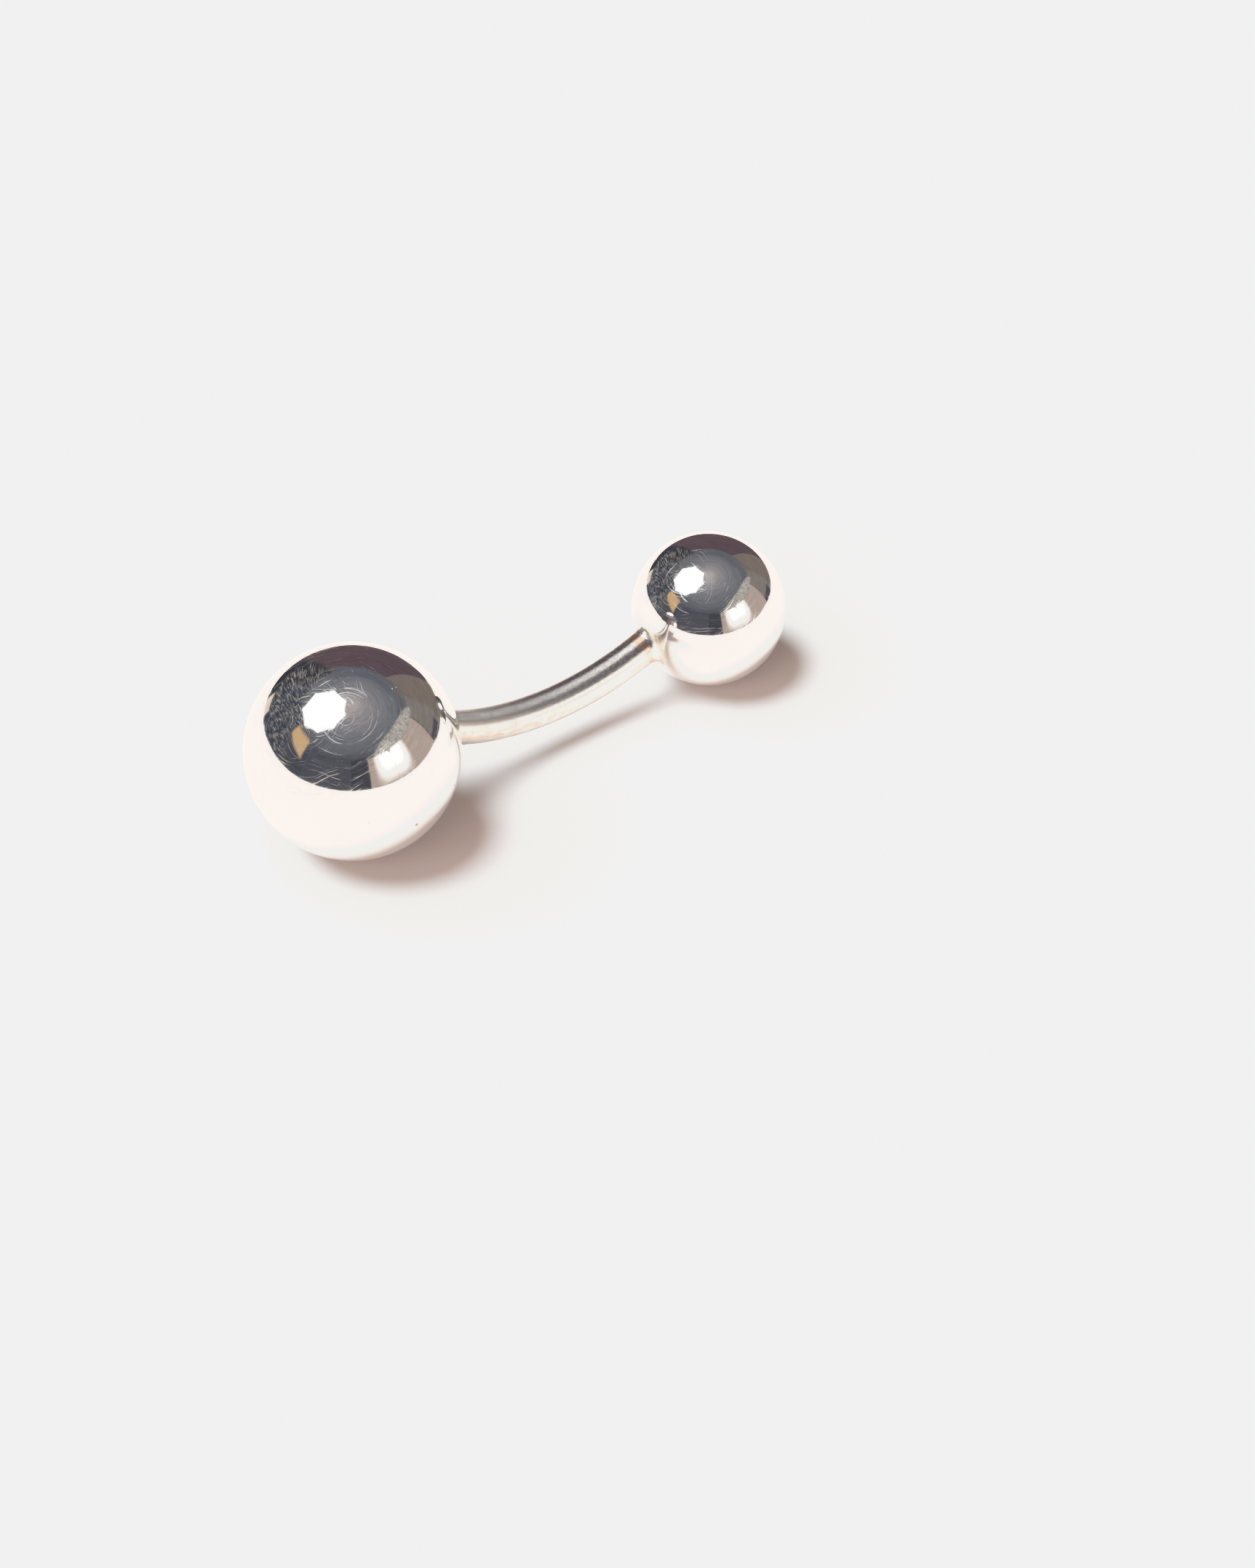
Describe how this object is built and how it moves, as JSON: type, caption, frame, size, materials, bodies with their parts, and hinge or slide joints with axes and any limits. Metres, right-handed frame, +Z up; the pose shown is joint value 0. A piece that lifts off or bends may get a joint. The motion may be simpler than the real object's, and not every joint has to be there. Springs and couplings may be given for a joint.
{
  "type": "ball cufflink",
  "caption": "Rigid polished silver cufflink: a large hollow ball and a smaller hollow ball soldered to the ends of a bent round bar, which goes through the cuff's buttonholes.",
  "frame": {"origin": "on the surface that the cufflink rests on, below the middle of its length", "axes": "+X along the cufflink from the large ball to the small ball, +Z up from the surface it rests on, XZ its plane of symmetry, in which the bar is bent"},
  "size_m": [0.0362, 0.0126, 0.0127],
  "materials": {
    "silver": "mirror-polished sterling silver with faint polishing swirls"
  },
  "bodies": {
    "root": {"cufflink": "silver"}
  },
  "joints": []
}
